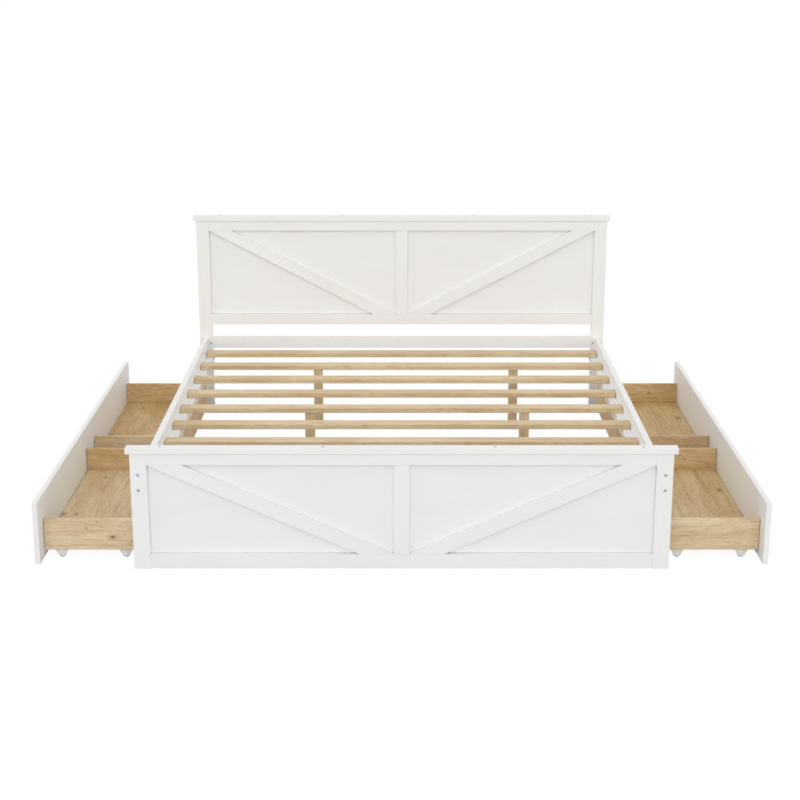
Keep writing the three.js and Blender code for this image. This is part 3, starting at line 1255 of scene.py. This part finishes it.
@dataclass
class Hardware:
    """Bolts through the posts into the side rails, and the plugs in the caps."""

    bolt_heights: tuple[float, float] = (374 * MM, 314 * MM)
    bolt_x: float = 982 * MM
    bolt_radius: float = 6.5 * MM
    corner_bolt: tuple[float, float, float] = (957 * MM, 343 * MM, 5 * MM)
    plug_x: tuple[float, ...] = (-897 * MM, -293 * MM, 347 * MM, 897 * MM)
    plug_radius: float = 6.5 * MM
    bolt_names: tuple[str, ...] = ("upper", "lower")

    def make(self) -> None:
        """Builds every fastener that shows."""
        foot_low, foot_high = corners("footboard_post_left")
        head_low, head_high = corners("headboard_post_left")
        for side in Side:
            for word, z in zip(self.bolt_names, self.bolt_heights):
                x = side.value * self.bolt_x
                self.make_bolt(f"foot_bolt_{side.word}_{word}", (x, foot_low[1], z), -1, self.bolt_radius)
                self.make_bolt(f"head_bolt_{side.word}_{word}", (x, head_high[1], z), 1, self.bolt_radius)
            x, z, radius = self.corner_bolt
            self.make_bolt(f"foot_corner_bolt_{side.word}", (side.value * x, foot_high[1], z), 1, radius)
            self.make_bolt(f"head_corner_bolt_{side.word}", (side.value * x, head_low[1], z), -1, radius)
        for board in ("headboard", "footboard"):
            self.make_plugs(board)

    def make_bolt(self, name: str, seat: Vec, facing: int, radius: float) -> None:
        """Builds a button head with a hexagon socket.

        Args:
            name: its name.
            seat: where it sits on the post.
            facing: which way along Y it faces.
            radius: the head's radius.
        """
        profile = np.array([
            (0.42, 0.02), (0.44, 0.1), (0.46, 0.4), (0.5, 0.44), (0.7, 0.4), (0.88, 0.28), (0.98, 0.1),
            (1.0, -0.04),
        ])
        show(name, domed(profile * radius, Axis.Y, facing, seat, hexagon=3), STEEL, BED)

    def make_plugs(self, board: str) -> None:
        """Builds the row of push-in plugs along a cap.

        Args:
            board: headboard or footboard.
        """
        low, high = corners(f"{board}_cap")
        y = (low[1] + high[1]) / 2
        profile = np.array([(0.2, 0.2), (0.6, 0.18), (0.9, 0.1), (1.0, 0.02), (1.0, -0.06)])
        stations = profile * self.plug_radius
        for number, x in enumerate(self.plug_x, start=1):
            seat = (x, y, float(high[2]))
            show(f"{board}_plug_{number}", domed(stations, Axis.Z, 1, seat, segments=28), PLUG, BED)


@dataclass
class Studio:
    """The white floor and surround, the soft lamps and the camera."""

    camera_place: Vec = (0.0, -6.6038, 2.2834)
    pitch_down: float = 16.3055
    focal_mm: float = 70.738
    sensor_mm: float = 36.0
    shift_x: float = -0.00206
    surround: float = 0.72
    front_strength: float = 1.5
    front_tilt: float = 84.0
    front_spread: float = 78.0
    left_strength: float = 1.05
    right_strength: float = 0.8
    side_tilt: float = 80.0
    side_spread: float = 70.0
    floor_size: float = 40.0
    floor_drop: float = 0.4 * MM
    floor_tone: float = 0.5
    shadow_tone: float = 0.1
    floor_glow: float = 0.94

    def make(self) -> None:
        """Builds the studio."""
        scene = bpy.context.scene
        scene.view_settings.view_transform = "Standard"
        self.make_world(scene)
        self.make_floor(scene)
        self.make_lamps(scene)
        self.make_camera(scene)

    def seen_directly(self, tree: bpy.types.NodeTree) -> bpy.types.NodeSocket:
        """One where the ray comes from the camera, a mirror or glass, and nought elsewhere.

        Args:
            tree: the node tree to add to.

        Returns:
            The factor.
        """
        path = tree.nodes.new("ShaderNodeLightPath")
        total = path.outputs["Is Camera Ray"]
        for name in ("Is Glossy Ray", "Is Transmission Ray"):
            either = tree.nodes.new("ShaderNodeMath")
            either.operation = "MAXIMUM"
            tree.links.new(total, either.inputs[0])
            tree.links.new(path.outputs[name], either.inputs[1])
            total = either.outputs[0]
        return total

    def make_world(self, scene: bpy.types.Scene) -> None:
        """Builds the white surround, which shows as white and lights as a softer one.

        Args:
            scene: the scene.
        """
        world = bpy.data.worlds.new("surround")
        scene.world = world
        world.use_nodes = True
        tree = world.node_tree
        background = tree.nodes["Background"]
        background.inputs["Color"].default_value = rgb(1.0, 1.0, 1.0)
        level = tree.nodes.new("ShaderNodeMapRange")
        tree.links.new(self.seen_directly(tree), level.inputs["Value"])
        level.inputs["To Min"].default_value = self.surround
        level.inputs["To Max"].default_value = 1.0
        tree.links.new(level.outputs["Result"], background.inputs["Strength"])

    def make_floor(self, scene: bpy.types.Scene) -> None:
        """Builds the floor: pale to the object, near white with a faint shadow to the camera.

        Args:
            scene: the scene.
        """
        material = bpy.data.materials.new("studio_floor")
        material.use_nodes = True
        tree = material.node_tree
        tree.nodes.clear()
        output = tree.nodes.new("ShaderNodeOutputMaterial")
        mix = tree.nodes.new("ShaderNodeMixShader")
        pale = tree.nodes.new("ShaderNodeBsdfDiffuse")
        pale.inputs["Color"].default_value = rgb(self.floor_tone, self.floor_tone, self.floor_tone)
        faint = tree.nodes.new("ShaderNodeBsdfDiffuse")
        faint.inputs["Color"].default_value = rgb(self.shadow_tone, self.shadow_tone, self.shadow_tone)
        glow = tree.nodes.new("ShaderNodeEmission")
        glow.inputs["Strength"].default_value = self.floor_glow
        both = tree.nodes.new("ShaderNodeAddShader")
        tree.links.new(faint.outputs[0], both.inputs[0])
        tree.links.new(glow.outputs[0], both.inputs[1])
        tree.links.new(self.seen_directly(tree), mix.inputs[0])
        tree.links.new(pale.outputs[0], mix.inputs[1])
        tree.links.new(both.outputs[0], mix.inputs[2])
        tree.links.new(mix.outputs[0], output.inputs["Surface"])
        half = self.floor_size / 2
        mesh = bpy.data.meshes.new("studio_floor")
        z = -self.floor_drop
        outline = [(-half, -half, z), (half, -half, z), (half, half, z), (-half, half, z)]
        mesh.from_pydata(outline, [], [(0, 1, 2, 3)])
        mesh.materials.append(material)
        floor = bpy.data.objects.new("studio_floor", mesh)
        scene.collection.objects.link(floor)

    def make_lamps(self, scene: bpy.types.Scene) -> None:
        """Hangs three very broad, low lights: one in front of the bed and one on either side of it.

        Args:
            scene: the scene.
        """
        front_turn = (math.radians(self.front_tilt), 0.0, 0.0)
        self.make_lamp(scene, "front", front_turn, self.front_strength, self.front_spread)
        for side, strength in ((Side.LEFT, self.left_strength), (Side.RIGHT, self.right_strength)):
            turn = (0.0, math.radians(self.side_tilt) * side.value, 0.0)
            self.make_lamp(scene, f"side_{side.word}", turn, strength, self.side_spread)

    def make_lamp(
        self, scene: bpy.types.Scene, name: str, turn: Vec, strength: float, spread: float,
    ) -> None:
        """Hangs one broad light.

        Args:
            scene: the scene.
            name: its name.
            turn: its rotation.
            strength: its strength.
            spread: how wide it looks from the bed, in degrees.
        """
        light = bpy.data.lights.new(name, "SUN")
        light.angle = math.radians(spread)
        light.energy = strength
        lamp = bpy.data.objects.new(name, light)
        lamp.rotation_euler = turn
        scene.collection.objects.link(lamp)

    def make_camera(self, scene: bpy.types.Scene) -> None:
        """Stands the camera in front of the foot of the bed, looking slightly down.

        Args:
            scene: the scene.
        """
        camera = bpy.data.cameras.new("camera")
        camera.lens = self.focal_mm
        camera.sensor_width = self.sensor_mm
        camera.shift_x = self.shift_x
        stand = bpy.data.objects.new("camera", camera)
        stand.location = self.camera_place
        stand.rotation_euler = (math.radians(90 - self.pitch_down), 0.0, 0.0)
        scene.collection.objects.link(stand)
        scene.camera = stand


def make_drawers() -> None:
    """Builds the four drawers, each with the knots of its own boards and painted shade on its boards that
    sit in shade; the left foot drawer's near board is made paler.
    """
    near = (Knot(0.066, -0.012, 6 * MM), Knot(-0.034, 0.025, 2.2 * MM), Knot(0.008, 0.05, 1.8 * MM))
    far = (Knot(0.06, 0.018, 2.5 * MM),)
    left_floor = (Knot(0.323, -0.094, 5 * MM), Knot(-0.127, -0.13, 5 * MM), Knot(-0.127, -0.18, 7 * MM))
    right_floor = (Knot(0.16, 0.155, 8 * MM), Knot(-0.24, -0.06, 3 * MM))
    Drawer(
        Side.LEFT, "foot", 3.0, near_knots=near, far_knots=far, floor_knots=left_floor, near_deep=-0.1,
    ).make()
    Drawer(
        Side.LEFT, "head", 9.0, near_knots=far, far_knots=far, floor_knots=left_floor, floor_deep=0.42,
    ).make()
    Drawer(Side.RIGHT, "foot", 14.0, far_knots=far, floor_knots=right_floor, floor_deep=0.2).make()
    Drawer(
        Side.RIGHT, "head", 21.0, far_knots=far, floor_knots=right_floor, floor_deep=0.42, near_deep=0.15,
        inner_deep=0.38,
    ).make()


def main() -> None:
    """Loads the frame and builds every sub-assembly."""
    logging.basicConfig(level=logging.INFO, format="%(name)s: %(message)s")
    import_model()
    Studio().make()
    FramedBoard("headboard", 50.0, cross_rail=True, brace_cut=112 * MM).make()
    FramedBoard("footboard", 70.0).make()
    SideRails().make()
    SlattedDeck().make()
    Hardware().make()
    make_drawers()


if __name__ == "__main__":
    main()
